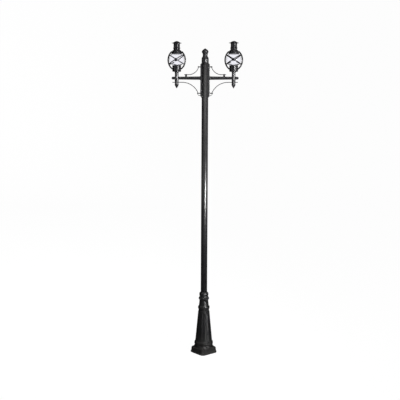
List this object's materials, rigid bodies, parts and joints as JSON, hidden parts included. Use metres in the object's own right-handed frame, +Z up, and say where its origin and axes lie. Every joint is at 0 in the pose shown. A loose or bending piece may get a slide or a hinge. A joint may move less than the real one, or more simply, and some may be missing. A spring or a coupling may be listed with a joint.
{
  "type": "twin lantern lamp post",
  "caption": "Cast-base lamp post with braced side arms and caged storm-lantern heads, a hinged door to its fuse unit, and lift-off chimneys.",
  "frame": {"origin": "centre of the base on the ground", "axes": "+Z up the post, +X along the right arm, the access door faces +Y"},
  "size_m": [0.87, 0.3126, 3.665],
  "materials": {
    "cast_base": "painted black, satin",
    "door_paint": "black paint, satin",
    "post_paint": "black paint, satin",
    "fitting_paint": "black paint, satin",
    "rod_paint": "black paint, satin",
    "lantern_paint": "black paint, satin",
    "guard_paint": "black paint, satin",
    "globe_glass": "clear",
    "lamp_glass": "frosted",
    "lamp_metal": "drawn",
    "holder_plastic": "white porcelain look",
    "seal_rubber": "matt",
    "fuse_plastic": "moulded grey",
    "bracket_steel": "zinc plated",
    "brass_parts": "turned",
    "screw_steel": "stainless",
    "wire_sleeve": "sheathed flex"
  },
  "bodies": {
    "post": {"base_plinth": "cast_base", "pole_flange": "post_paint", "pole": "post_paint", "base_shaft": "cast_base", "door_box": "cast_base", "door_frame": "cast_base", "door_hinge_pins": "screw_steel", "base_collar": "cast_base", "set_screws": "screw_steel", "gear_bracket": "bracket_steel", "fuse_unit": "fuse_plastic", "earth_stud": "brass_parts", "spine_screws": "screw_steel", "pole_cap": "fitting_paint", "finial": "fitting_paint", "left_spine": "post_paint", "left_arm": "post_paint", "left_arm_end": "fitting_paint", "left_upper_brace": "rod_paint", "left_lower_brace": "rod_paint", "left_brace_clip": "fitting_paint", "left_stem": "post_paint", "left_pendant": "fitting_paint", "left_drum": "lantern_paint", "left_gallery": "lantern_paint", "left_lampholder": "holder_plastic", "left_lamp_cap": "lamp_metal", "left_lamp_glass": "lamp_glass", "left_globe": "globe_glass", "left_cap": "lantern_paint", "left_hoop": "guard_paint", "left_front_guard": "guard_paint", "left_rear_guard": "guard_paint", "right_spine": "post_paint", "right_arm": "post_paint", "right_arm_end": "fitting_paint", "right_upper_brace": "rod_paint", "right_lower_brace": "rod_paint", "right_brace_clip": "fitting_paint", "right_stem": "post_paint", "right_pendant": "fitting_paint", "right_drum": "lantern_paint", "right_gallery": "lantern_paint", "right_lampholder": "holder_plastic", "right_lamp_cap": "lamp_metal", "right_lamp_glass": "lamp_glass", "right_globe": "globe_glass", "right_cap": "lantern_paint", "right_hoop": "guard_paint", "right_front_guard": "guard_paint", "right_rear_guard": "guard_paint", "globe_seals": "seal_rubber", "lantern_wires": "wire_sleeve"},
    "door": {"access_door": "door_paint"},
    "lock": {"door_lock": "brass_parts"},
    "left_chimney_top": {"left_chimney": "lantern_paint", "left_hat": "lantern_paint"},
    "right_chimney_top": {"right_chimney": "lantern_paint", "right_hat": "lantern_paint"}
  },
  "joints": [
    {"name": "door_hinge", "type": "hinge", "parent": "post", "child": "door", "pos_m": [-0.052, 0.1013, 0.302], "axis": [0, 0, 1], "range_deg": [0, 110]},
    {"name": "lock_turn", "type": "hinge", "parent": "door", "child": "lock", "pos_m": [0.028, 0.098, 0.302], "axis": [0, 1, 0], "range_deg": [-90, 0]},
    {"name": "left_chimney_lift", "type": "slide", "parent": "post", "child": "left_chimney_top", "axis": [0, 0, 1], "range_m": [0, 0.12]},
    {"name": "right_chimney_lift", "type": "slide", "parent": "post", "child": "right_chimney_top", "axis": [0, 0, 1], "range_m": [0, 0.12]}
  ]
}
